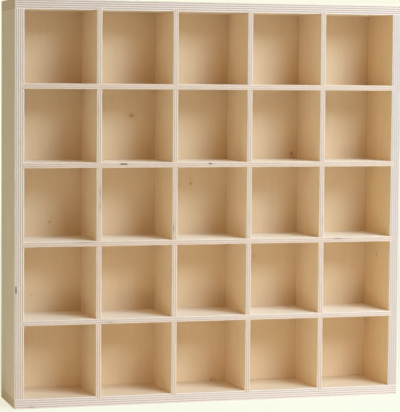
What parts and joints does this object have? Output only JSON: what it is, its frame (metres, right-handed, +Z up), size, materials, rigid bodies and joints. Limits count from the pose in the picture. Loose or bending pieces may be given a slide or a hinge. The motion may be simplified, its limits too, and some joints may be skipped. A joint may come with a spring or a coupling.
{
  "type": "pigeonhole shelf",
  "caption": "Square open shelf of bare birch plywood: small compartments between halved uprights and shelves, housed in a thicker frame with a thin rebated back.",
  "frame": {"origin": "middle of the footprint, on the surface that the shelf stands on", "axes": "+Z up, -Y out of the open front, +X to the right as seen from the front"},
  "size_m": [0.5, 0.092, 0.5],
  "materials": {
    "frame_plywood": "bare sanded birch plywood, nine plies",
    "divider_plywood": "bare sanded birch plywood, five plies",
    "back_plywood": "bare sanded birch plywood, three plies",
    "nail_steel": "bright drawn wire"
  },
  "bodies": {
    "root": {"top_panel": "frame_plywood", "bottom_panel": "frame_plywood", "left_side": "frame_plywood", "right_side": "frame_plywood", "back_panel": "back_plywood", "upright_1": "divider_plywood", "upright_2": "divider_plywood", "upright_3": "divider_plywood", "upright_4": "divider_plywood", "shelf_1": "divider_plywood", "shelf_2": "divider_plywood", "shelf_3": "divider_plywood", "shelf_4": "divider_plywood", "corner_brads": "nail_steel", "back_panel_pins": "nail_steel"}
  },
  "joints": []
}
